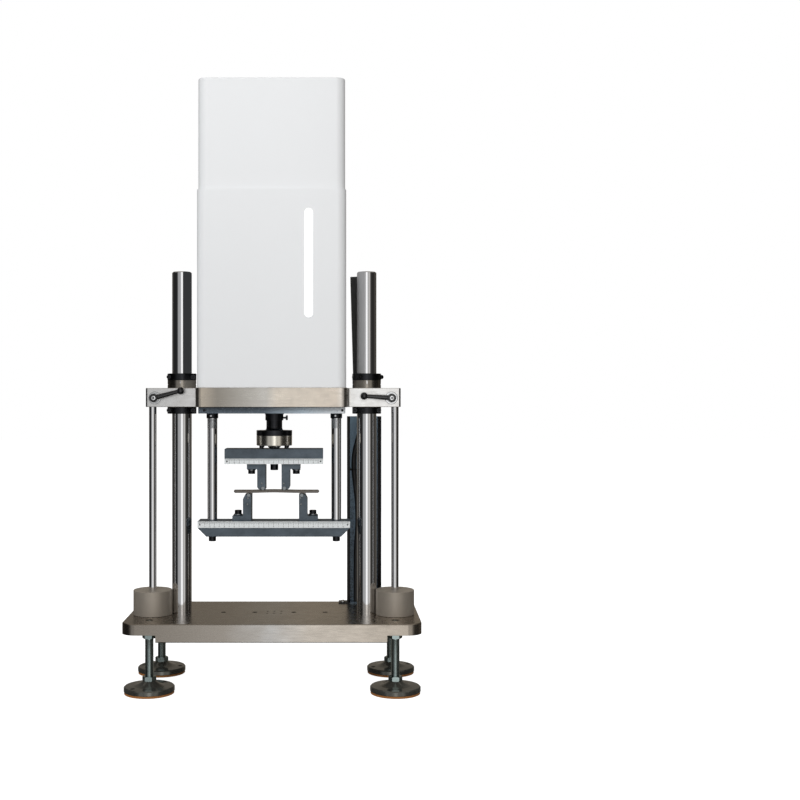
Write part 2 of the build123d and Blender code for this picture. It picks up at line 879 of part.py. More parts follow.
def load_cell_bolts():
    low = load_cell_low - cell_bolt_head_height
    made = []
    for place in cell_bolt_places():
        head = upright(cell_bolt_head, low, load_cell_low, *place)
        made.append(head + upright(cell_bolt_radius, load_cell_low, low + cell_bolt_reach, *place))
    return made


def ball_stud():
    waist = (load_cell_low + upper_beam_top) / 2
    points = [
        (0, upper_beam_top),
        (ball_stud_foot, upper_beam_top),
        (ball_stud_radius - 1, waist - 1),
        (ball_stud_radius, waist),
        (ball_stud_radius, load_cell_low),
        (0, load_cell_low),
    ]
    return turned(points) - upright(beam_bolt_radius + FIT, 0, upper_beam_top + beam_bolt_reach + 0.5)


def beam_bolt():
    low = upper_beam_low - beam_bolt_head_height
    head = socket_head(beam_bolt_head, low, upper_beam_low)
    return head + upright(beam_bolt_radius, upper_beam_low, upper_beam_top + beam_bolt_reach)


def piston_rod():
    """Hollow rod with a thicker end that stands on the adapter's hub."""
    rod = upright(piston_radius, piston_low, nut_low) + upright(rod_end_radius, adapter_top, rod_end_top)
    return rod - upright(piston_bore, screw_low - stroke - piston_bore_spare, nut_low + 1)


def ball_nut():
    nut = upright(nut_radius, nut_low, nut_low + nut_height)
    nut = chamfer(nut.edges().filter_by(GeomType.CIRCLE), 1)
    return nut - upright(screw_radius + RUN, nut_low - 1, nut_low + nut_height + 1)


def ball_screw():
    shoulder = housing_top - housing_roof
    thread = upright(screw_radius, screw_low, shoulder)
    return thread + upright(journal_radius, shoulder, coupling_middle)


def shaft_coupling():
    """Bellows coupling between the screw journal and the motor shaft."""
    top = coupling_low + coupling_height
    body = upright(coupling_radius, coupling_low, top)
    pitch = coupling_height / (coupling_grooves + 3)
    for k in range(coupling_grooves):
        low = coupling_low + pitch * (k + 2)
        groove = upright(coupling_radius + 1, low, low + pitch / 2)
        body -= groove - upright(coupling_radius - coupling_groove_depth, low - 1, low + pitch)
    body -= upright(journal_radius + FIT, coupling_low - 1, coupling_middle)
    return body - upright(motor_shaft_radius + FIT, coupling_middle, top + 1)


def motor_shaft():
    return upright(motor_shaft_radius, coupling_middle, mount_top + motor_shaft_reach)


def screw_bearing():
    low = housing_top + bearing_seat
    top = low + bearing_height
    ring = upright(bearing_radius, low, top)
    ring = chamfer(ring.edges().filter_by(GeomType.CIRCLE), ring_edge)
    return ring - upright(journal_radius + RUN, housing_top, top + 1)


def motor_mount():
    """Lantern that holds the screw bearing and carries the motor, with two windows."""
    body = upright(mount_radius, housing_top, mount_top)
    body -= upright(mount_radius - mount_wall, housing_top + mount_floor, mount_top + 1)
    body -= upright(bearing_radius + FIT, housing_top + bearing_seat, housing_top + mount_floor + 1)
    body -= upright(journal_radius + GAP, housing_top - 1, housing_top + bearing_seat + 1)
    window = (housing_top + mount_floor + mount_window_sill, mount_top - mount_window_head)
    return body - block((-mount_window / 2, mount_window / 2), (-mount_radius, mount_radius), window)


def actuator_housing():
    tube = upright(housing_radius, crosshead_top, housing_top)
    tube += upright(housing_flange, crosshead_top, crosshead_top + housing_flange_height)
    tube -= upright(housing_bore, crosshead_top - 1, housing_top - housing_roof)
    return tube - upright(journal_radius + RUN, crosshead_top, housing_top + 1)


def guide_bush():
    low = crosshead_top - guide_bush_length
    bush = upright(guide_bush_radius, low, crosshead_top)
    return bush - upright(piston_radius + RUN, low - 1, crosshead_top + 1)


def servo_motor():
    top = mount_top + motor_height
    body = slab(motor_width / 2, motor_width / 2, mount_top, top, motor_corner)
    body -= upright(motor_shaft_radius + GAP, mount_top - 1, mount_top + motor_shaft_reach + 1)
    core = motor_width / 2 - motor_fin_gap
    for k in range(motor_fin_count):
        low = mount_top + motor_flange + k * motor_fin_pitch
        high = low + motor_fin_gap
        ring = slab(motor_width, motor_width, low, high, motor_corner)
        body -= ring - slab(core, core, low - 1, high + 1, motor_corner)
    return body


def rod_lock_collar():
    low = under_plate_low - collar_drop
    lip = upright(collar_radius + 1, under_plate_low - collar_lip, under_plate_low)
    ring = upright(collar_radius, low, under_plate_low) + lip
    ring -= upright(collar_bore, low - 1, under_plate_low + 1)
    return ring - along_x(lock_screw_radius + RUN, 0, collar_radius + 2, 0, lock_screw_z)


def rod_lock_screw():
    """Thumbscrew at the right of the lock collar."""
    neck_end = rod_end_radius + GAP
    head_start = neck_end + lock_screw_neck
    neck = along_x(lock_screw_radius, neck_end, head_start, 0, lock_screw_z)
    head = along_x(lock_screw_head, head_start, head_start + lock_screw_head_length, 0, lock_screw_z)
    return neck + chamfer(head.edges().filter_by(GeomType.CIRCLE), 0.6)


def lower_cover():
    """Sheet cover with a light slot in front and an opening in its roof."""
    cover = slab(lower_cover_x, lower_cover_y, crosshead_top, lower_cover_top, cover_corner)
    inside = (lower_cover_x - cover_wall, lower_cover_y - cover_wall)
    roof = lower_cover_top - cover_wall
    cover -= slab(*inside, crosshead_top - 1, roof, cover_corner - cover_wall)
    opening = (upper_cover_x - cover_lip, upper_cover_y - cover_lip)
    cover -= slab(*opening, roof - 1, lower_cover_top + 1, cover_corner)
    return cover - light_outline(light_width / 2, -lower_cover_y - 1, -lower_cover_y + cover_wall + 1)


def light_outline(radius, front, back):
    """Upright obround between two depths."""
    low = crosshead_top + light_rise
    plan = SlotOverall(light_length - light_width + 2 * radius, 2 * radius, rotation=90)
    face = Plane.XZ * Pos(light_x, low + light_length / 2) * plan
    return Pos(0, back, 0) * extrude(face, amount=back - front, dir=(0, -1, 0))


def status_light_bar():
    front = -lower_cover_y - light_stand
    wall_back = -lower_cover_y + cover_wall
    lens = light_outline(light_width / 2 - FIT, front, wall_back)
    lens = chamfer(lens.edges().group_by(Axis.Y)[0], 0.6)
    return lens + light_outline(light_width / 2 + light_lip, wall_back, wall_back + light_flange)


def upper_cover():
    top = lower_cover_top + upper_cover_height
    cover = slab(upper_cover_x, upper_cover_y, lower_cover_top, top, cover_corner)
    cover = fillet(cover.edges().group_by(Axis.Z)[-1], cover_edge)
    inside = (upper_cover_x - cover_wall, upper_cover_y - cover_wall)
    return cover - slab(*inside, lower_cover_top - 1, top - cover_wall, cover_corner - cover_wall)


def cable_duct():
    """Upright channel behind the right column, open to the front, on a flanged foot."""
    top = base_top + duct_height
    heights = (base_top, top)
    duct = block((duct_left, duct_right), (duct_front, duct_back), heights)
    inside = (duct_left + duct_wall, duct_right - duct_wall)
    duct -= block(inside, (duct_front - 1, duct_back - duct_wall), (base_top + duct_wall, top + 1))
    foot = (duct_left - duct_foot, duct_left)
    return duct + block(foot, (duct_front, duct_back), (base_top, base_top + duct_wall))


CABLE_ROUTE = [
    (0, 0, 0),
    (0, 0, 55),
    (0, 0.5, 110),
    (4, -2, 165),
    (3, -5, 215),
    (-3, -4, 262),
    (-5.5, -1, 305),
    (1, 0, 340),
    (9, 0, 365),
    (9, 0, 384),
]


def duct_cable():
    """Cable that stands in the duct, a little slack in its upper half."""
    low = base_top + duct_wall
    points = [Vector(cable_x + x, cable_y + y, low + z) for x, y, z in CABLE_ROUTE]
    radii = []
    for before, here, after in zip(points, points[1:], points[2:]):
        turn = math.radians((here - before).get_angle(after - here))
        radii.append(0.45 * min((here - before).length, (after - here).length) / math.tan(turn / 2))
    path = FilletPolyline(*points, radius=radii)
    section = Plane(origin=points[0], z_dir=points[1] - points[0]) * Circle(cable_radius)
    tube = sweep(section, path=path)
    print("cable radii", [round(r) for r in radii])
    print("cable volume over section times length", tube.volume / (section.area * path.length))
    return tube


def cable_guard():
    """Slim channel that stands on the crosshead and leans a little to the left."""
    back = guard_front + guard_depth
    box = block((0, guard_width), (guard_front, back), (0, guard_height))
    inside = (guard_wall, guard_width - guard_wall)
    box -= block(inside, (guard_front + guard_wall, back + 1), (-1, guard_height - guard_wall))
    box = Pos(guard_left, 0, crosshead_top) * Rot(0, -guard_lean, 0) * box
    floor = block((0, ear_x), (guard_front, back), (crosshead_low, crosshead_top))
    foot_x_range = (guard_left, guard_left + guard_width)
    foot = block(foot_x_range, (guard_front, back), (crosshead_top, crosshead_top + guard_wall))
    return (box - floor) + foot


save("base_plate", base_plate())
save("columns", *columns())
save("column_screws", *column_screws())
save("side_rods", *side_rods())
save("rod_sockets", *rod_sockets())
save("foot_lock_nuts", *foot_lock_nuts())
for corner_name, (corner_x, corner_y, pad_turn) in FEET.items():
    save(f"foot_pad_{corner_name}", *foot_pad(corner_x, corner_y, pad_turn))
    save(f"foot_stud_{corner_name}", foot_stud(corner_x, corner_y))
save("crosshead", crosshead())
save("column_bushings", *column_bushings())
save("clamp_rings", *clamp_rings())
save("ring_screws", *ring_screws())
save("lever_left", lever(-1, left_lever_angle))
save("lever_right", lever(1, right_lever_angle))
save("under_plate", under_plate())
save("hanging_rods", *hanging_rods())
save("rod_lock_nuts", *rod_lock_nuts())
save("hanging_rod_screws", *hanging_rod_screws())
save("lower_beam", lower_beam())
lower_scale_low = lower_beam_top - lower_scale_height
save("lower_scale", scale(lower_beam_length, lower_beam_depth, lower_scale_low, lower_scale_height))
save("upper_beam", upper_beam())
save("upper_scale", scale(upper_beam_length, upper_beam_depth, upper_beam_low, upper_scale_height))
for nose_side, upper_x, lower_x in zip(SIDES, upper_roller_x, lower_roller_x):
    side_name = NAMES[nose_side]
    save(f"upper_nose_{side_name}", *upper_nose(nose_side, upper_x))
    save(f"lower_nose_{side_name}", *lower_nose(nose_side, lower_x))
    save(f"upper_roller_{side_name}", roller(upper_x, upper_roller_z))
    save(f"lower_roller_{side_name}", roller(lower_x, lower_roller_z))
save("specimen", specimen())
save("load_cell_adapter", load_cell_adapter())
save("load_cell", load_cell())
save("load_cell_bolts", *load_cell_bolts())
save("ball_stud", ball_stud())
save("beam_bolt", beam_bolt())
save("piston_rod", piston_rod())
save("ball_nut", ball_nut())
save("ball_screw", ball_screw())
save("shaft_coupling", shaft_coupling())
save("motor_shaft", motor_shaft())
save("screw_bearing", screw_bearing())
save("motor_mount", motor_mount())
save("actuator_housing", actuator_housing())
save("guide_bush", guide_bush())
save("servo_motor", servo_motor())
save("rod_lock_collar", rod_lock_collar())
save("rod_lock_screw", rod_lock_screw())
save("lower_cover", lower_cover())
save("status_light_bar", status_light_bar())
save("upper_cover", upper_cover())
save("cable_duct", cable_duct())
save("duct_cable", duct_cable())
save("cable_guard", cable_guard())
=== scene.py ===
import json
import math

import bmesh
import bpy
from mathutils import Matrix, Vector


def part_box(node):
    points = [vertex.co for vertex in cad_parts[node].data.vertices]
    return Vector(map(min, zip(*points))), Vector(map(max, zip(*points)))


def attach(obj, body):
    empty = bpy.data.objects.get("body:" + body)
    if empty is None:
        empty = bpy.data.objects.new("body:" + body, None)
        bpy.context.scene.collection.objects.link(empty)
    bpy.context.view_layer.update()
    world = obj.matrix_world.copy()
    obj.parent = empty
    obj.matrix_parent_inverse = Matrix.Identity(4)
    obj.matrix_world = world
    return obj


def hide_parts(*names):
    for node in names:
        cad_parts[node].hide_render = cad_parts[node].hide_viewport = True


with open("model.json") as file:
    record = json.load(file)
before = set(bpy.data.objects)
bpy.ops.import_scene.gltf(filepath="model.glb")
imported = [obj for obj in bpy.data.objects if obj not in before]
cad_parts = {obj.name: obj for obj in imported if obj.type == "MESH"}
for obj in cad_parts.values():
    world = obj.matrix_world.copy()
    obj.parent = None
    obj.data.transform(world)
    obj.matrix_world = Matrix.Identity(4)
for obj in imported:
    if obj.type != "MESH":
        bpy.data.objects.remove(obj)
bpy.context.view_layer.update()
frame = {"nodes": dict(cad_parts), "record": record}

# A twin-column fatigue testing machine with a bending fixture. Everything is in metres.
MM = 0.001
NODES = frame["nodes"]
SIDES = {"left": -1, "right": 1}


# Camera
LENS = 51.3
SENSOR = 36
CAMERA_PLACE = (0.110, -2.337, 0.578)
CAMERA_SHIFT = (0.09, 0.0)


def add_camera():
    data = bpy.data.cameras.new("camera")
    data.lens = LENS
    data.sensor_width = SENSOR
    data.shift_x, data.shift_y = CAMERA_SHIFT
    camera = bpy.data.objects.new("camera", data)
    bpy.context.scene.collection.objects.link(camera)
    camera.location = CAMERA_PLACE
    camera.rotation_euler = (math.radians(90), 0, 0)
    bpy.context.scene.camera = camera


# Node tree helpers


class Nodes:
    """Short calls for one material's node tree."""

    def __init__(self, tree):
        self.tree = tree

    def add(self, kind, **settings):
        node = self.tree.nodes.new(kind)
        for name, value in settings.items():
            setattr(node, name, value)
        return node

    def link(self, start, end):
        self.tree.links.new(start, end)

    def place(self):
        return self.add("ShaderNodeTexCoord").outputs["Object"]

    def stretched(self, scale):
        mapping = self.add("ShaderNodeMapping")
        mapping.inputs["Scale"].default_value = scale
        self.link(self.place(), mapping.inputs["Vector"])
        return mapping.outputs["Vector"]

    def noise(self, scale, detail=3.0, stretch=(1, 1, 1), roughness=0.5):
        node = self.add("ShaderNodeTexNoise")
        node.inputs["Scale"].default_value = scale
        node.inputs["Detail"].default_value = detail
        node.inputs["Roughness"].default_value = roughness
        self.link(self.stretched(stretch), node.inputs["Vector"])
        return node.outputs["Fac"]

    def ramp(self, value, stops):
        """Colour ramp with stops of (place, colour)."""
        node = self.add("ShaderNodeValToRGB")
        elements = node.color_ramp.elements
        while len(elements) < len(stops):
            elements.new(0.5)
        for element, (at, colour) in zip(elements, stops):
            element.position = at
            element.color = (*colour, 1)
        self.link(value, node.inputs["Fac"])
        return node.outputs["Color"]

    def grey(self, value, stops):
        return self.ramp(value, [(at, (level,) * 3) for at, level in stops])

    def mix(self, factor, first, second):
        """Mix of two colours; each is a socket or a plain colour, and so is the factor."""
        node = self.add("ShaderNodeMix", data_type="RGBA")
        ends = ((node.inputs[0], factor), (node.inputs[6], first), (node.inputs[7], second))
        for socket, value in ends:
            if isinstance(value, bpy.types.NodeSocket):
                self.link(value, socket)
            elif socket.name == "Factor":
                socket.default_value = value
            else:
                socket.default_value = (*value, 1)
        return node.outputs[2]

    def axes(self):
        """The object's own X, Y and Z at each point."""
        split = self.add("ShaderNodeSeparateXYZ")
        self.link(self.place(), split.inputs[0])
        return split.outputs

    def math(self, operation, first, second=0.0, third=None):
        node = self.add("ShaderNodeMath", operation=operation)
        given = [value for value in (first, second, third) if value is not None]
        for socket, value in zip(node.inputs, given):
            if isinstance(value, bpy.types.NodeSocket):
                self.link(value, socket)
            else:
                socket.default_value = value
        return node.outputs[0]

    def edges(self, radius):
        """About 1 on sharp edges and 0 on flats."""
        bevel = self.add("ShaderNodeBevel")
        bevel.inputs["Radius"].default_value = radius
        geometry = self.add("ShaderNodeNewGeometry")
        dot = self.add("ShaderNodeVectorMath", operation="DOT_PRODUCT")
        self.link(bevel.outputs["Normal"], dot.inputs[0])
        self.link(geometry.outputs["Normal"], dot.inputs[1])
        return self.grey(dot.outputs["Value"], [(0.86, 1.0), (0.985, 0.0)])

    def bump(self, height, strength, distance):
        node = self.add("ShaderNodeBump")
        node.inputs["Strength"].default_value = strength
        node.inputs["Distance"].default_value = distance
        self.link(height, node.inputs["Height"])
        return node.outputs["Normal"]


MATERIALS = {}


def material(name, slot):
    """New material with a Principled shader, known by name together with its slot."""
    made = bpy.data.materials.new(name)
    made.use_nodes = True
    nodes = Nodes(made.node_tree)
    shader = made.node_tree.nodes["Principled BSDF"]
    MATERIALS[name] = (made, slot)
    return nodes, shader


def tone(colour, share):
    return tuple(min(1.0, part * share) for part in colour)


# Scales of the fine surface texture, and how far the roughness varies round its value
METAL_GRAIN = 900
PAINT_GRAIN = 500


def rough_texture(nodes, shader, fine, roughness, spread, strength, depth):
    """Lets a fine texture vary the roughness and the surface a little."""
    stops = [(0.2, roughness * spread[0]), (0.8, roughness * spread[1])]
    nodes.link(nodes.grey(fine, stops), shader.inputs["Roughness"])
    nodes.link(nodes.bump(fine, strength, depth), shader.inputs["Normal"])


def metal(
    name,
    slot,
    colour,
    roughness,
    spread=0.12,
    scale=18,
    grain=(1, 1, 1),
    bump=0.05,
    wear=None,
    coat=0.0,
):
    """Bare or blackened metal with cloudy colour, grain along one way and brighter edges."""
    nodes, shader = material(name, slot)
    cloud = nodes.noise(scale, 4.0)
    base = nodes.mix(cloud, tone(colour, 1 - spread), tone(colour, 1 + spread))
    if wear:
        base = nodes.mix(nodes.edges(wear[0]), base, wear[1])
    nodes.link(base, shader.inputs["Base Color"])
    fine = nodes.noise(METAL_GRAIN, 2.0, grain)
    rough_texture(nodes, shader, fine, roughness, (0.8, 1.25), bump, 0.0002)
    shader.inputs["Metallic"].default_value = 1.0
    shader.inputs["Coat Weight"].default_value = coat
    return nodes, shader


def paint(name, slot, colour, roughness, spread=0.04, scale=9, bump=0.06, wear=None, coat=0.0):
    """Paint, plastic or rubber with a fine texture and slightly uneven colour."""
    nodes, shader = material(name, slot)
    base = nodes.mix(nodes.noise(scale, 3.0), tone(colour, 1 - spread), tone(colour, 1 + spread))
    if wear:
        base = nodes.mix(nodes.edges(wear[0]), base, wear[1])
    nodes.link(base, shader.inputs["Base Color"])
    fine = nodes.noise(PAINT_GRAIN, 2.0)
    rough_texture(nodes, shader, fine, roughness, (0.85, 1.15), bump, 0.0003)
    shader.inputs["Coat Weight"].default_value = coat
    return nodes, shader


def ground_steel():
    """Ground plate, browner at its left end and lighter towards the right; this sweep is painted
    reflection.
    """
    nodes, shader = material("ground_steel", "ground_steel")
    axes = nodes.axes()
    along = nodes.math("MULTIPLY_ADD", axes["X"], 1.6, 0.5)
    # Painted reflection: the tone along X stands in for what the plate mirrors.
    painted_reflection = nodes.ramp(
        along,
        [
            (0.0, (0.38, 0.335, 0.285)),
            (0.35, (0.43, 0.39, 0.345)),
            (0.50, (0.56, 0.55, 0.535)),
            (0.62, (0.60, 0.545, 0.48)),
            (1.0, (0.54, 0.475, 0.40)),
        ],
    )
    blotch = nodes.noise(26, 6.0, (1, 1, 2))
    base = nodes.mix(nodes.grey(blotch, [(0.35, 0.0), (0.7, 0.5)]), painted_reflection, (0.40, 0.36, 0.31))
    base = nodes.mix(nodes.edges(0.0012), base, (0.20, 0.18, 0.15))
    nodes.link(base, shader.inputs["Base Color"])
    fine = nodes.noise(420, 3.0, (0.12, 0.12, 1))
    nodes.link(nodes.grey(fine, [(0.2, 0.22), (0.8, 0.34)]), shader.inputs["Roughness"])
    nodes.link(nodes.bump(fine, 0.06, 0.0002), shader.inputs["Normal"])
    shader.inputs["Metallic"].default_value = 1.0


def crosshead_steel():
    """Nickelled plate: grey brown at the left of the bow, warmer at the right, pale ears, all of it
    painted reflection.
    """
    nodes, shader = material("crosshead_steel", "crosshead_steel")
    axes = nodes.axes()
    along = nodes.math("MULTIPLY_ADD", axes["X"], 1.9, 0.5)
    # Painted reflection: these bands along X stand in for what the bow and ears mirror.
    painted_reflection = nodes.ramp(
        along,
        [
            (0.0, (0.84, 0.84, 0.83)),
            (0.20, (0.90, 0.89, 0.88)),
            (0.24, (0.66, 0.58, 0.48)),
            (0.30, (0.36, 0.33, 0.285)),
            (0.48, (0.62, 0.60, 0.56)),
            (0.52, (0.74, 0.67, 0.58)),
            (0.74, (0.70, 0.62, 0.53)),
            (0.80, (0.90, 0.90, 0.89)),
            (1.0, (0.92, 0.91, 0.90)),
        ],
    )
    blotch = nodes.noise(60, 6.0)
    base = nodes.mix(nodes.grey(blotch, [(0.4, 0.0), (0.8, 0.35)]), painted_reflection, (0.42, 0.39, 0.35))
    nodes.link(base, shader.inputs["Base Color"])
    fine = nodes.noise(420, 3.0, (0.1, 0.1, 1))
    nodes.link(nodes.grey(fine, [(0.2, 0.24), (0.8, 0.36)]), shader.inputs["Roughness"])
    nodes.link(nodes.bump(fine, 0.05, 0.0002), shader.inputs["Normal"])
    shader.inputs["Metallic"].default_value = 1.0


def chrome(name, slot, colour, scratches):
    """Polished rod with faint drawn lines and a few marks."""
    nodes, shader = material(name, slot)
    marks = nodes.grey(nodes.noise(35, 8.0, (1, 1, 0.25), 0.7), [(0.58, 0.0), (0.78, scratches)])
    nodes.link(nodes.mix(marks, colour, tone(colour, 0.6)), shader.inputs["Base Color"])
    fine = nodes.noise(900, 2.0, (1, 1, 0.02))
    nodes.link(nodes.grey(fine, [(0.3, 0.05), (0.8, 0.10)]), shader.inputs["Roughness"])
    nodes.link(nodes.bump(fine, 0.003, 0.0001), shader.inputs["Normal"])
    shader.inputs["Metallic"].default_value = 1.0


# The duct is coloured plain black past these two places, in X
BLACK = (0.006, 0.006, 0.007)
DUCT_LEFT_INSIDE = 0.1575
DUCT_RIGHT_INSIDE = 0.2170


def hammered_blue():
    """Hammer finish: round dents with a lighter net between them, and painted shade that darkens it
    towards the foot.
    """
    nodes, shader = material("duct_blue", "duct_blue")
    cells = nodes.add("ShaderNodeTexVoronoi")
    cells.inputs["Scale"].default_value = 260
    nodes.link(nodes.place(), cells.inputs["Vector"])
    axes = nodes.axes()
    # Painted shade: the colour darkens towards the foot of the duct.
    shade_towards_foot = nodes.ramp(
        axes["Z"],
        [(0.14, (0.012, 0.015, 0.019)), (0.36, (0.05, 0.075, 0.10)), (0.54, (0.24, 0.36, 0.47))],
    )
    spots = nodes.grey(cells.outputs["Distance"], [(0.1, 0.0), (0.6, 0.35)])
    hammered = nodes.mix(spots, shade_towards_foot, (0.26, 0.36, 0.46))
    left_wall = nodes.math("LESS_THAN", axes["X"], DUCT_LEFT_INSIDE)
    right_wall = nodes.math("GREATER_THAN", axes["X"], DUCT_RIGHT_INSIDE)
    walls = nodes.math("MAXIMUM", left_wall, right_wall)
    nodes.link(nodes.mix(walls, hammered, BLACK), shader.inputs["Base Color"])
    nodes.link(nodes.bump(cells.outputs["Distance"], 0.5, 0.0006), shader.inputs["Normal"])
    shader.inputs["Roughness"].default_value = 0.35
    shader.inputs["Metallic"].default_value = 0.35


def slate(name, slot, light, dark):
    """Phosphated slate grey with rubbed patches and pale edges."""
    nodes, shader = material(name, slot)
    patches = nodes.grey(nodes.noise(28, 7.0, (1, 1, 1.4), 0.65), [(0.3, 0.0), (0.75, 1.0)])
    base = nodes.mix(patches, dark, light)
    specks = nodes.grey(nodes.noise(420, 2.0), [(0.66, 0.0), (0.74, 0.45)])
    base = nodes.mix(specks, base, tone(dark, 0.55))
    base = nodes.mix(nodes.edges(0.0008), base, tone(light, 0.62))
    nodes.link(base, shader.inputs["Base Color"])
    fine = nodes.noise(700, 3.0)
    nodes.link(nodes.bump(fine, 0.12, 0.0003), shader.inputs["Normal"])
    shader.inputs["Roughness"].default_value = 0.46
    shader.inputs["Metallic"].default_value = 0.55


def plate_blue():
    """Slate plate that grows pale blue towards its right end, a painted reflection."""
    nodes, shader = material("plate_blue", "plate_blue")
    axes = nodes.axes()
    along = nodes.math("MULTIPLY_ADD", axes["X"], 3.3, 0.5)
    # Painted reflection: the pale blue towards the right end stands in for what the plate mirrors.
    painted_reflection = nodes.ramp(
        along,
        [
            (0.0, (0.075, 0.10, 0.13)),
            (0.45, (0.12, 0.16, 0.20)),
            (0.70, (0.62, 0.74, 0.84)),
            (1.0, (0.94, 0.96, 0.98)),
        ],
    )
    specks = nodes.grey(nodes.noise(380, 3.0), [(0.5, 0.0), (0.75, 0.6)])
    nodes.link(nodes.mix(specks, painted_reflection, (0.36, 0.42, 0.50)), shader.inputs["Base Color"])
    nodes.link(nodes.bump(nodes.noise(500, 3.0), 0.15, 0.0003), shader.inputs["Normal"])
    shader.inputs["Roughness"].default_value = 0.42
    shader.inputs["Metallic"].default_value = 0.1


SOLE_TOP = 4.1 * MM


def pad_iron():
    """Dark lacquered pad on a tan sole; the sole is the lowest four millimetres."""
    nodes, shader = material("pad_iron", "pad_iron")
    axes = nodes.axes()
    sole = nodes.math("LESS_THAN", axes["Z"], SOLE_TOP)
    cloud = nodes.noise(60, 4.0)
    iron = nodes.mix(cloud, (0.085, 0.085, 0.074), (0.20, 0.20, 0.18))
    tan = nodes.mix(cloud, (0.30, 0.11, 0.025), (0.42, 0.18, 0.05))
    nodes.link(nodes.mix(sole, iron, tan), shader.inputs["Base Color"])
    nodes.link(nodes.math("MULTIPLY_ADD", sole, 0.6, 0.16), shader.inputs["Roughness"])
    nodes.link(nodes.math("MULTIPLY_ADD", sole, -0.75, 0.75), shader.inputs["Metallic"])
    nodes.link(nodes.bump(nodes.noise(240, 3.0), 0.08, 0.0003), shader.inputs["Normal"])


def make_materials():
    ground_steel()
    crosshead_steel()
    chrome("hard_chrome", "hard_chrome", (0.82, 0.82, 0.83), 0.25)
    hammered_blue()
    slate("beam_slate", "beam_slate", (0.125, 0.155, 0.185), (0.070, 0.087, 0.102))
    plate_blue()
    pad_iron()
    taupe_brown = (0.40, 0.355, 0.30)
    _, taupe = metal("socket_taupe", "socket_taupe", taupe_brown, 0.46, spread=0.08, scale=40, bump=0.1)
    taupe.inputs["Metallic"].default_value = 0.55
    metal("zinc_steel", "zinc_steel", (0.38, 0.46, 0.45), 0.24, wear=(0.0006, (0.55, 0.62, 0.62)))
    metal("bush_steel", "bush_steel", (0.34, 0.31, 0.27), 0.22, grain=(1, 1, 0.02))
    cell_edge = (0.0006, (0.35, 0.31, 0.25))
    metal("cell_nickel", "cell_nickel", (0.92, 0.86, 0.76), 0.20, grain=(1, 1, 0.02), wear=cell_edge)
    _, silver = metal("scale_silver", "scale_silver", (0.80, 0.83, 0.835), 0.5, spread=0.03)
    silver.inputs["Metallic"].default_value = 0.25
    metal("roller_steel", "roller_steel", (0.26, 0.28, 0.29), 0.3)
    bar_edge = (0.0007, (0.06, 0.05, 0.045))
    metal("bar_steel", "bar_steel", (0.17, 0.155, 0.14), 0.36, spread=0.25, scale=50, wear=bar_edge)
    metal("machined_steel", "machined_steel", (0.55, 0.56, 0.58), 0.25)
    metal("cast_aluminium", "cast_aluminium", (0.60, 0.61, 0.62), 0.4)
    metal("bronze", "bronze", (0.62, 0.42, 0.22), 0.3)
    metal("screw_bright", "zinc_steel", (0.80, 0.81, 0.82), 0.22)
    black_edge = (0.0006, (0.11, 0.11, 0.115))
    metal("black_oxide", "black_oxide", (0.035, 0.036, 0.04), 0.34, wear=black_edge, coat=0.1)
    lever_edge = (0.0005, (0.03, 0.03, 0.03))
    paint("lever_black", "lever_black", (0.008, 0.008, 0.009), 0.22, wear=lever_edge, coat=0.3)
    paint("motor_black", "motor_black", (0.03, 0.03, 0.032), 0.4)
    paint("guard_black", "guard_black", (0.012, 0.012, 0.012), 0.5)
    paint("cable_black", "cable_black", (0.012, 0.012, 0.013), 0.45)
    # Near black: the cable tie's own colour, and painted shade on the hexagons that stand for screw
    # sockets.
    paint("tie_black_and_socket_shade", "black_oxide", (0.004, 0.004, 0.004), 0.6)
    paint("mark_black", "scale_silver", (0.02, 0.02, 0.02), 0.6)
    white = (0.775, 0.785, 0.795)
    paint("cover_white", "cover_white", white, 0.24, spread=0.012, scale=3, bump=0.03, coat=0.25)
    lens_tone = (0.95, 0.96, 0.97)
    _, lens = paint("lens_white", "lens_white", lens_tone, 0.12, spread=0.01, bump=0.01, coat=0.5)
    lens.inputs["Emission Color"].default_value = (1.0, 1.0, 1.0, 1)
    lens.inputs["Emission Strength"].default_value = 0.35


# Nodes whose finish differs a little from the one that their slot names
NODE_FINISH = {"ball_stud": "screw_bright"}


def dress_cad():
    """Gives each CAD node the material of its slot."""
    for row in frame["record"]["subparts"]:
        node = NODES[row["node"]]
        slot = row["material_slot"]
        made, _ = MATERIALS[NODE_FINISH.get(row["node"], slot)]
        node.data.materials.clear()
        node.data.materials.append(made)


# Mesh helpers


def to_piece(name, mesh_data, body, finish, smooth=True):
    """Links a bmesh as a piece that rides on a body."""
    mesh = bpy.data.meshes.new(name)
    mesh_data.to_mesh(mesh)
    mesh_data.free()
    made, slot = MATERIALS[finish]
    piece = plain_object(name, mesh, made)
    if smooth:
        mesh.shade_smooth()
        mesh.set_sharp_from_angle(angle=math.radians(35))
    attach(piece, body)
    return piece


def facing(direction):
    """Turn that carries +Z to a direction."""
    return Vector((0, 0, 1)).rotation_difference(Vector(direction)).to_matrix().to_4x4()


UP = (0, 0, 1)
DOWN = (0, 0, -1)
FRONT = (0, -1, 0)


def in_mm(profile):
    return [(radius * MM, height * MM) for radius, height in profile]


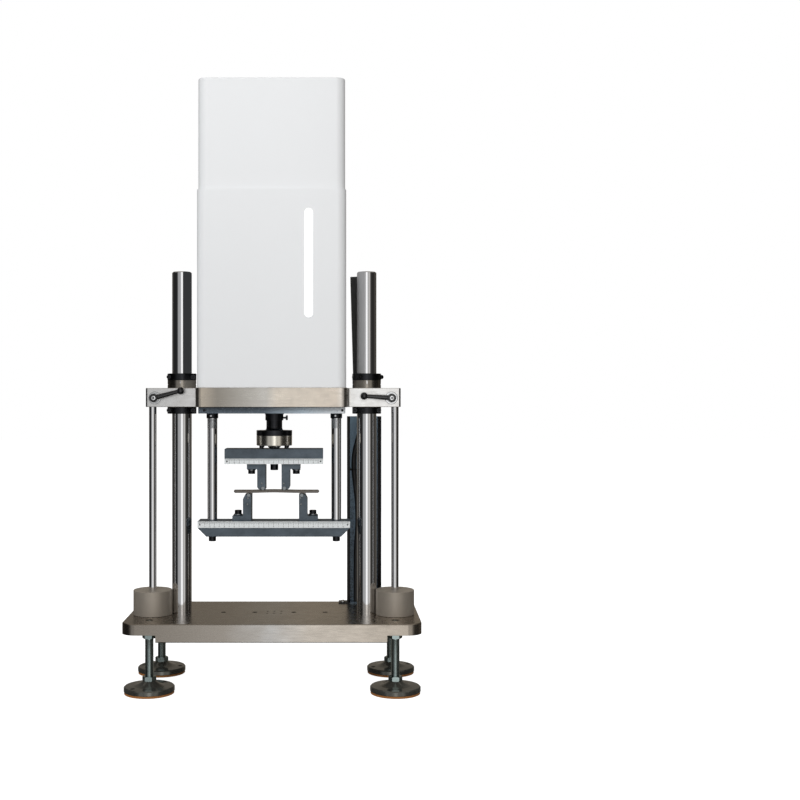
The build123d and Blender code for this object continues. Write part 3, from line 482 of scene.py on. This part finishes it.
def lathe(target, profile, place, direction=UP, segments=48):
    """Adds a closed turned form; profile is (radius, height) from the axis back to the axis."""
    turn = Matrix.Translation(place) @ facing(direction)
    rings = []
    for radius, height in profile:
        if radius == 0:
            rings.append([target.verts.new(turn @ Vector((0, 0, height)))])
            continue
        angles = [math.tau * k / segments for k in range(segments)]
        ring = [Vector((radius * math.cos(a), radius * math.sin(a), height)) for a in angles]
        rings.append([target.verts.new(turn @ point) for point in ring])
    for low, high in zip(rings, rings[1:]):
        for k in range(segments):
            after = (k + 1) % segments
            if len(low) == 1:
                target.faces.new((low[0], high[after], high[k]))
            elif len(high) == 1:
                target.faces.new((low[k], low[after], high[0]))
            else:
                target.faces.new((low[k], low[after], high[after], high[k]))


def turned(name, body, finish, profile, place, direction=UP):
    """One turned piece that rides on a body."""
    form = bmesh.new()
    lathe(form, profile, place, direction)
    return to_piece(name, form, body, finish)


def prism(target, low, high, bevel=0.0):
    """Adds a box between two corners, with bevelled edges where asked."""
    size = Vector(high) - Vector(low)
    middle = (Vector(high) + Vector(low)) / 2
    frame_of_box = Matrix.Translation(middle) @ Matrix.Diagonal((*size, 1))
    made = bmesh.ops.create_cube(target, size=1, matrix=frame_of_box)
    if bevel:
        edges = {edge for vert in made["verts"] for edge in vert.link_edges}
        bmesh.ops.bevel(target, geom=list(edges), offset=bevel, segments=2, affect="EDGES", profile=0.5)


# Details


def hexagon_at(target, across, place, direction, depth):
    """Six sided plug with a slightly dished face."""
    corner = across / 2 / math.cos(math.pi / 6)
    profile = [(0, 0), (corner, 0), (corner, depth * 0.8), (corner * 0.75, depth), (0, depth * 0.9)]
    lathe(target, profile, place, direction, 6)


def socket_face(name, body, place, direction, radius, ring_finish):
    """Turned rim and a dark hexagon on the head of a socket screw; the hexagon is painted shade of the
    socket hole.
    """
    stand = radius * 0.10
    profile = [
        (0, 0),
        (radius, 0),
        (radius, stand * 0.6),
        (radius * 0.9, stand),
        (radius * 0.5, stand),
        (0, stand * 0.9),
    ]
    turned(name, body, ring_finish, profile, place, direction)
    hole = bmesh.new()
    hole_place = Vector(place) + Vector(direction) * stand * 0.6
    hexagon_at(hole, radius * 0.85, hole_place, direction, stand * 0.6)
    to_piece(name + "_socket", hole, body, "tie_black_and_socket_shade", smooth=False)


LEVER_HUB_RADIUS = 8.5 * MM
LEVER_SCREW_RADIUS = 4.2 * MM
EAR_FRONT = -50 * MM
# A hair's breadth, which parts two faces or sinks a detail into the piece behind it
HAIR = 0.1 * MM
# Turned profiles in millimetres
LEVER_WASHER = [(0, 0), (12.5, 0), (12.5, 2.6), (11.6, 3.5), (5, 3.5), (0, 3.4)]
LEVER_RIM = [(0, 3.45), (11.9, 3.45), (11.9, 3.75), (11.0, 3.85), (9.0, 3.7), (0, 3.6)]


def add_lever_details():
    """Washer under each clamp lever and a silver socket screw in its hub."""
    for name in SIDES:
        low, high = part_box(f"lever_{name}")
        x = low.x + LEVER_HUB_RADIUS if name == "left" else high.x - LEVER_HUB_RADIUS
        z = low.z + LEVER_HUB_RADIUS
        place = (x, EAR_FRONT - HAIR, z)
        washer = in_mm(LEVER_WASHER)
        turned(f"lever_washer_{name}", "crosshead_unit", "lever_black", washer, place, FRONT)
        rim = in_mm(LEVER_RIM)
        turned(f"lever_washer_rim_{name}", "crosshead_unit", "screw_bright", rim, place, FRONT)
        hub = (x, low.y + 2 * HAIR, z)
        screw = f"lever_screw_{name}"
        socket_face(screw, f"{name}_lever", hub, FRONT, LEVER_SCREW_RADIUS, "screw_bright")


COLUMN_X = 189.3 * MM
RING_SCREW_OFFSET = 24.75 * MM
RING_SCREW_FRONT = -19 * MM
RING_SOCKET = 4 * MM
RING_SOCKET_DEPTH = 0.4 * MM
# Height of each pair of clamp rings, and how many degrees each ring is turned
RING_ROWS = [(557 * MM, {"left": 0, "right": 0}), (625 * MM, {"left": 0, "right": 27})]


def add_ring_sockets():
    """Dark hexagons in the heads of the clamp ring screws, painted shade of their sockets."""
    holes = bmesh.new()
    for z, turns in RING_ROWS:
        for name, sign in SIDES.items():
            turn = Matrix.Rotation(math.radians(turns[name]), 3, "Z")
            middle = Vector((sign * COLUMN_X, 0, z))
            for offset in (-RING_SCREW_OFFSET, RING_SCREW_OFFSET):
                place = turn @ Vector((offset, RING_SCREW_FRONT + HAIR, 0)) + middle
                hexagon_at(holes, RING_SOCKET, place, turn @ Vector(FRONT), RING_SOCKET_DEPTH)
    to_piece("ring_screw_sockets", holes, "crosshead_unit", "tie_black_and_socket_shade", smooth=False)


# Marks of the scales: share of the strip's height, and width
TEN_MARK = (0.62, 0.42 * MM)
FIVE_MARK = (0.46, 0.26 * MM)
ONE_MARK = (0.30, 0.26 * MM)
MARK_SINK = 0.05 * MM
MARK_STAND = 0.02 * MM
FIGURE_HEIGHT = 3.6 * MM
FIGURE_THICKNESS = 0.03 * MM
SCALE_SCREW_INSET = 5 * MM
SCALE_SCREW_RADIUS = 2.6 * MM


def ticks(target, low, high, front, down):
    """Millimetre marks along a strip, longer at every fifth and tenth."""
    count = int((high - low) / MM)
    middle = round((low + high) / 2, 6)
    top = down[1]
    reach = top - down[0]
    for k in range(-(count // 2) + 2, count // 2 - 1):
        x = middle + k * MM
        share, wide = TEN_MARK if k % 10 == 0 else FIVE_MARK if k % 5 == 0 else ONE_MARK
        foot = (x - wide / 2, front - MARK_SINK, top - reach * share)
        prism(target, foot, (x + wide / 2, front + MARK_STAND, top))


def figure(name, body, text, place):
    """Small number that stands on the front of a scale."""
    curve = bpy.data.curves.new(name, "FONT")
    curve.body = text
    curve.size = FIGURE_HEIGHT
    curve.align_x = "CENTER"
    curve.extrude = FIGURE_THICKNESS
    flat = bpy.data.objects.new(name, curve)
    bpy.context.scene.collection.objects.link(flat)
    flat.location = place
    flat.rotation_euler = (math.radians(90), 0, 0)
    made, slot = MATERIALS["mark_black"]
    curve.materials.append(made)
    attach(flat, body)


def add_scales():
    """Millimetre marks, numbers and end screws on the two strips."""
    for name, body in (("lower", "crosshead_unit"), ("upper", "actuator")):
        low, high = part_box(f"{name}_scale")
        marks = bmesh.new()
        ticks(marks, low.x, high.x, low.y, (low.z + 0.5 * MM, high.z - 0.6 * MM))
        to_piece(f"{name}_scale_marks", marks, body, "mark_black", smooth=False)
        tens = int((high.x - low.x) / 2 / MM) // 10
        for k in range(-tens + 1, tens):
            place = (k * 10 * MM, low.y - 0.04 * MM, low.z + 1.2 * MM)
            figure(f"{name}_scale_number_{k + tens}", body, str(abs(k)), place)
        ends = {"left": low.x + SCALE_SCREW_INSET, "right": high.x - SCALE_SCREW_INSET}
        for side, x in ends.items():
            place = (x, low.y + 4 * HAIR, (low.z + high.z) / 2)
            screw = f"{name}_scale_screw_{side}"
            socket_face(screw, body, place, FRONT, SCALE_SCREW_RADIUS, "black_oxide")


def screw_head(target, x, z, front, radius):
    """Low domed screw head on a front face."""
    stand = radius * 0.45
    shoulder = (radius * 0.92, stand * 0.6)
    profile = [(0, 0), (radius, 0), shoulder, (radius * 0.55, stand), (0, stand)]
    lathe(target, profile, (x, front, z), FRONT, 24)


# Keeper screws of each nose as (x, z) in millimetres
NOSE_SCREWS = {
    "upper_nose_left": [(-24.7, 408.0)],
    "upper_nose_right": [(19.6, 408.0)],
    "lower_nose_left": [(-54.0, 366.0), (-53.0, 378.5)],
    "lower_nose_right": [(55.0, 366.0), (54.0, 378.5)],
}
NOSE_SCREW_RADIUS = 2.2 * MM


def nose_body(node):
    level, _, side = node.split("_")
    return f"{side}_{level}_nose"


# Distance of a clamp bolt from its roller, and of the washer's face from the nose's outer edge
CLAMP_OFFSET = {"upper": 24 * MM, "lower": 22.5 * MM}
CLAMP_FACE = {"upper": -27.5 * MM, "lower": 27.0 * MM}
WASHER_RIM = [(0, 0), (8.9, 0), (8.9, 0.5), (8.0, 0.8), (7.1, 0.8), (0, 0.7)]
BOLT_CAP = [(0, 0.9), (7.2, 0.9), (7.2, 7.9), (6.7, 8.4), (0, 8.4)]


def add_nose_details():
    """Keeper screws, washer rims and black bolt heads on the four noses."""
    for node, places in NOSE_SCREWS.items():
        body = nose_body(node)
        low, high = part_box(node)
        heads = bmesh.new()
        for x, z in places:
            screw_head(heads, x * MM, z * MM, low.y + HAIR, NOSE_SCREW_RADIUS)
        to_piece(f"{node}_keeper_screws", heads, body, "roller_steel")
        level, _, side = node.split("_")
        roller_low, roller_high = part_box(f"{level}_roller_{side}")
        x = (roller_low.x + roller_high.x) / 2 + SIDES[side] * CLAMP_OFFSET[level]
        edge, direction = (high.z, DOWN) if level == "upper" else (low.z, UP)
        place = (x, 0, edge + CLAMP_FACE[level])
        turned(f"{node}_washer_rim", body, "screw_bright", in_mm(WASHER_RIM), place, direction)
        turned(f"{node}_bolt_cap", body, "black_oxide", in_mm(BOLT_CAP), place, direction)


ROD_X = 127 * MM
ROD_THREAD = (520 * MM, 539.5 * MM)
ROD_THREAD_RADIUS = 10.02 * MM
ROD_THREAD_DEPTH = 0.25 * MM
ROD_THREAD_PITCH = 1.5 * MM


def thread(target, x, y, low, high, radius, depth, pitch):
    """Stack of vee grooves round a rod, which reads as a screw thread."""
    profile = [(0, low), (radius, low)]
    z = low
    while z + pitch <= high:
        crest = (radius + depth, z + pitch * 0.5)
        profile += [(radius, z + pitch * 0.1), crest, (radius, z + pitch * 0.9)]
        z += pitch
    profile += [(radius, high), (0, high)]
    lathe(target, profile, (x, y, 0), segments=40)


def add_rod_threads():
    """Bright threaded stretch under the lock nut of each hanging rod, and its set screw."""
    for name, sign in SIDES.items():
        made = bmesh.new()
        sizes = (ROD_THREAD_RADIUS, ROD_THREAD_DEPTH, ROD_THREAD_PITCH)
        thread(made, sign * ROD_X, 0, *ROD_THREAD, *sizes)
        to_piece(f"rod_thread_{name}", made, "crosshead_unit", "screw_bright")
        screw = bmesh.new()
        screw_head(screw, sign * ROD_X - 2 * MM, 546 * MM, -11.9 * MM, 2.4 * MM)
        to_piece(f"rod_set_screw_{name}", screw, "crosshead_unit", "screw_bright")


STUD_THREAD_LOW = 34 * MM
STUD_THREAD_GAP = 0.3 * MM
STUD_THREAD_RADIUS = 8.01 * MM
STUD_THREAD_DEPTH = 0.45 * MM
STUD_THREAD_PITCH = 2 * MM


def add_stud_threads():
    """Long thread on each levelling stud, a little proud of its plain shank."""
    nuts_low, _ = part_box("foot_lock_nuts")
    sizes = (STUD_THREAD_RADIUS, STUD_THREAD_DEPTH, STUD_THREAD_PITCH)
    for corner in ("front_left", "front_right", "rear_left", "rear_right"):
        low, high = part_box(f"foot_stud_{corner}")
        middle = (low + high) / 2
        made = bmesh.new()
        thread(made, middle.x, middle.y, STUD_THREAD_LOW, nuts_low.z - STUD_THREAD_GAP, *sizes)
        to_piece(f"stud_thread_{corner}", made, f"{corner}_stud", "zinc_steel")


def add_plate_screw():
    """Small dark screws along the front edge of the plate under the crosshead."""
    low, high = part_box("under_plate")
    made = bmesh.new()
    for x in (low.x + 12 * MM, high.x - 6 * MM):
        screw_head(made, x, (low.z + high.z) / 2, low.y + HAIR, 2.6 * MM)
    to_piece("under_plate_screws", made, "crosshead_unit", "black_oxide")


# The route's points, as in the part's source
CABLE_START = (170 * MM, 112 * MM, 145.5 * MM)
CABLE_RADIUS = 5 * MM
CABLE_ROUTE = [
    (0, 0, 0),
    (0, 0, 55),
    (0, 0.5, 110),
    (4, -2, 165),
    (3, -5, 215),
    (-3, -4, 262),
    (-5.5, -1, 305),
    (1, 0, 340),
    (9, 0, 365),
    (9, 0, 384),
]


TIE_RING = [(0, -1.6), (5.6, -1.6), (5.9, -1.2), (5.9, 1.2), (5.6, 1.6), (0, 1.6)]
# The two points of the route that the tie sits between
TIE_BETWEEN = (5, 6)


def spline_through(name, points, radius, finish):
    """Round tube along a smooth curve."""
    curve = bpy.data.curves.new(name, "CURVE")
    curve.dimensions = "3D"
    curve.bevel_depth = radius
    curve.bevel_resolution = 6
    curve.resolution_u = 16
    curve.use_fill_caps = True
    spline = curve.splines.new("NURBS")
    spline.points.add(len(points) - 1)
    for point, place in zip(spline.points, points):
        point.co = (*place, 1)
    spline.use_endpoint_u = True
    spline.order_u = 3
    made, slot = MATERIALS[finish]
    curve.materials.append(made)
    tube = bpy.data.objects.new(name, curve)
    bpy.context.scene.collection.objects.link(tube)
    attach(tube, "frame")
    return tube


def add_cable():
    """Control cable in the duct, with a tie round it."""
    start = Vector(CABLE_START)
    points = [start + Vector(point) * MM for point in CABLE_ROUTE]
    cable = spline_through("control_cable", points, CABLE_RADIUS, "cable_black")
    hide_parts("duct_cable")
    tie = bmesh.new()
    before, after = (Vector(CABLE_ROUTE[k]) * MM for k in TIE_BETWEEN)
    middle = start + (before + after) / 2
    lathe(tie, in_mm(TIE_RING), middle, after - before)
    prism(tie, middle + Vector((-9, -2, -2)) * MM, middle + Vector((-4.5, 2, 2)) * MM, 0.4 * MM)
    tied = to_piece("cable_tie", tie, "frame", "tie_black_and_socket_shade")


PAN_HEAD = [(0, 0), (4, 0), (3.6, 1.4), (2.2, 2.0), (0, 2.0)]


def add_duct_screws():
    """Pan head screws that hold the duct's foot to the base."""
    low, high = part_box("cable_duct")
    made = bmesh.new()
    for y in (low.y + 7 * MM, high.y - 7 * MM):
        place = (low.x + 9 * MM, y, low.z + 2.5 * MM)
        lathe(made, in_mm(PAN_HEAD), place, segments=24)
    to_piece("duct_foot_screws", made, "frame", "screw_bright")


def add_details():
    add_lever_details()
    add_ring_sockets()
    add_scales()
    add_nose_details()
    add_rod_threads()
    add_stud_threads()
    add_plate_screw()
    add_duct_screws()
    add_cable()


# Studio
AMBIENT = 0.34
FLOOR_GLOW = 0.92
FLOOR_HALF = 14

WALL_RADIUS = 2.9
WALL_LOW, WALL_HIGH = -1.6, 3.4
WALL_CORNERS = 144
WALL_PEAK = 1.3
LID_CORNERS = 72
ROOF_LEVEL = 0.34
PIT_LEVEL = 0.10

# Brightness of the studio wall by the angle, in degrees from the front to the right
WALL_BANDS = [
    (-180, 0.27),
    (-152, 0.16),
    (-130, 0.03),
    (-112, 0.06),
    (-100, 0.02),
    (-56, 0.02),
    (-46, 0.12),
    (-38, 0.42),
    (-28, 0.46),
    (-20, 0.34),
    (-14, 0.50),
    (-4, 0.72),
    (-2.2, 1.30),
    (10, 1.20),
    (13, 0.50),
    (23, 0.42),
    (31, 0.62),
    (40, 0.50),
    (46, 0.08),
    (62, 0.03),
    (100, 0.03),
    (112, 0.10),
    (122, 0.04),
    (152, 0.14),
    (180, 0.27),
]


def reflection_only(piece):
    """Keeps a studio piece for the steel to mirror and out of everything else."""
    piece.visible_camera = False
    piece.visible_diffuse = False
    piece.visible_shadow = False
    piece.visible_transmission = False


def plain_object(name, mesh, finish):
    mesh.materials.append(finish)
    piece = bpy.data.objects.new(name, mesh)
    bpy.context.scene.collection.objects.link(piece)
    return piece


def bare_material(name):
    """New material with an empty node tree."""
    made = bpy.data.materials.new(name)
    made.use_nodes = True
    made.node_tree.nodes.clear()
    return made, Nodes(made.node_tree)


def show(nodes, shader):
    """Sends a shader to the surface."""
    end = nodes.add("ShaderNodeOutputMaterial")
    nodes.link(shader.outputs[0], end.inputs["Surface"])


def glowing(name, colour, level):
    """Material that only glows, evenly."""
    made, nodes = bare_material(name)
    glow = nodes.add("ShaderNodeEmission")
    glow.inputs["Color"].default_value = (*colour, 1)
    glow.inputs["Strength"].default_value = level
    show(nodes, glow)
    return made


def studio_piece(name, form, finish):
    """Turns a bmesh into a studio piece that is only mirrored."""
    mesh = bpy.data.meshes.new(name)
    form.to_mesh(mesh)
    form.free()
    reflection_only(plain_object(name, mesh, finish))


# Tint of the wall from the back round the left, the front and the right
WARM = (1.0, 0.88, 0.72)
WALL_TINT = [
    (0.0, WARM),
    (0.3, (0.96, 0.98, 1.0)),
    (0.5, (1, 1, 1)),
    (0.62, (1.0, 0.97, 0.92)),
    (1.0, WARM),
]


def wall_finish():
    """Soft upright bands, warm behind the machine and white in front."""
    made, nodes = bare_material("studio_wall")
    axes = nodes.axes()
    angle = nodes.math("ARCTAN2", axes["X"], nodes.math("MULTIPLY", axes["Y"], -1.0))
    share = nodes.math("MULTIPLY_ADD", angle, 1 / math.tau, 0.5)
    stops = [(0.5 + turn / 360, level / WALL_PEAK) for turn, level in WALL_BANDS]
    both = nodes.add("ShaderNodeMix", data_type="RGBA", blend_type="MULTIPLY")
    both.inputs[0].default_value = 1.0
    nodes.link(nodes.grey(share, stops), both.inputs[6])
    nodes.link(nodes.ramp(share, WALL_TINT), both.inputs[7])
    glow = nodes.add("ShaderNodeEmission")
    glow.inputs["Strength"].default_value = WALL_PEAK
    nodes.link(both.outputs[2], glow.inputs["Color"])
    show(nodes, glow)
    return made


def studio_wall():
    """Round wall about the machine."""
    ring = bmesh.new()
    turns = [math.tau * k / WALL_CORNERS for k in range(WALL_CORNERS)]
    rim = [(WALL_RADIUS * math.sin(a), WALL_RADIUS * math.cos(a)) for a in turns]
    low, high = ([ring.verts.new((x, y, z)) for x, y in rim] for z in (WALL_LOW, WALL_HIGH))
    for k in range(WALL_CORNERS):
        after = (k + 1) % WALL_CORNERS
        ring.faces.new((low[k], low[after], high[after], high[k]))
    studio_piece("studio_wall", ring, wall_finish())


# Dark card beside the left side of the covers, for the left column to mirror; it is painted shade of
# the covers' side
CARD_GAP = 2 * MM
CARD_RISE = 20 * MM
CARD_TOP = 1.16
CARD_LEVEL = 0.045
CARD_TINT = (0.93, 0.97, 1.0)


def studio_card():
    """Upright card between the left column and the covers, seen in mirrored light only; it stands in
    for the shade on the covers' left side.
    """
    low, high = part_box("lower_cover")
    x = low.x - CARD_GAP
    foot = low.z + CARD_RISE
    corners = [(low.y, foot), (high.y, foot), (high.y, CARD_TOP), (low.y, CARD_TOP)]
    card = bmesh.new()
    card.faces.new([card.verts.new((x, y, z)) for y, z in corners])
    studio_piece("studio_card", card, glowing("studio_card", CARD_TINT, CARD_LEVEL))


LID_TINT = (1.0, 0.94, 0.86)


def studio_lid(name, height, level):
    """Plain disc that closes the studio wall above or below."""
    disc = bmesh.new()
    lift = Matrix.Translation((0, 0, height))
    bmesh.ops.create_circle(disc, cap_ends=True, segments=LID_CORNERS, radius=WALL_RADIUS, matrix=lift)
    studio_piece(name, disc, glowing(name, LID_TINT, level))


def add_studio():
    studio_wall()
    studio_card()
    studio_lid("studio_roof", WALL_HIGH, ROOF_LEVEL)
    studio_lid("studio_pit", WALL_LOW, PIT_LEVEL)


def area(name, place, target, size, power, colour=(1, 1, 1)):
    data = bpy.data.lights.new(name, "AREA")
    data.shape = "RECTANGLE"
    data.size, data.size_y = size
    data.energy = power
    data.color = colour
    lamp = bpy.data.objects.new(name, data)
    bpy.context.scene.collection.objects.link(lamp)
    lamp.location = place
    lamp.rotation_euler = (Vector(target) - Vector(place)).to_track_quat("-Z", "Y").to_euler()
    lamp.visible_glossy = False


def bright_when_seen(nodes, seen_level, lit_level):
    """Strength for the rays that see a surface at once, and for those that only light by it."""
    path = nodes.add("ShaderNodeLightPath")
    seen = nodes.math("MAXIMUM", path.outputs["Is Camera Ray"], path.outputs["Is Transmission Ray"])
    return nodes.math("MULTIPLY_ADD", seen, seen_level - lit_level, lit_level)


def add_world():
    world = bpy.data.worlds.new("studio")
    bpy.context.scene.world = world
    world.use_nodes = True
    nodes = Nodes(world.node_tree)
    back = world.node_tree.nodes["Background"]
    back.inputs["Color"].default_value = (1, 1, 1, 1)
    nodes.link(bright_when_seen(nodes, 1.0, AMBIENT), back.inputs["Strength"])


def add_floor():
    """Near white floor that melts into the background and keeps a soft shadow."""
    half = FLOOR_HALF
    corners = [(-half, -half, 0), (half, -half, 0), (half, half, 0), (-half, half, 0)]
    mesh = bpy.data.meshes.new("floor")
    mesh.from_pydata(corners, [], [(0, 1, 2, 3)])
    made, nodes = bare_material("floor")
    matt = nodes.add("ShaderNodeBsdfDiffuse")
    matt.inputs["Color"].default_value = (0.42, 0.42, 0.42, 1)
    glow = nodes.add("ShaderNodeEmission")
    nodes.link(bright_when_seen(nodes, FLOOR_GLOW, 0.0), glow.inputs["Strength"])
    both = nodes.add("ShaderNodeAddShader")
    nodes.link(matt.outputs[0], both.inputs[0])
    nodes.link(glow.outputs[0], both.inputs[1])
    show(nodes, both)
    floor = plain_object("floor", mesh, made)
    floor.visible_glossy = False


def add_lamps():
    middle = (0, 0, 0.6)
    area("lamp_front", (-0.9, -3.0, 2.2), middle, (2.2, 1.8), 68)
    area("lamp_right", (2.6, -1.6, 1.8), middle, (1.6, 1.6), 13, (1.0, 0.97, 0.93))
    area("lamp_left", (-2.6, -1.2, 1.6), middle, (1.6, 1.6), 10, (0.95, 0.98, 1.0))
    area("lamp_back", (0.3, 3.0, 2.2), middle, (2.2, 1.8), 24)
    area("lamp_top", (0, 0, 3.2), middle, (2.4, 2.4), 16)


add_camera()
make_materials()
dress_cad()
add_details()
add_studio()
add_world()
add_floor()
add_lamps()

bpy.context.scene.view_settings.view_transform = "Standard"
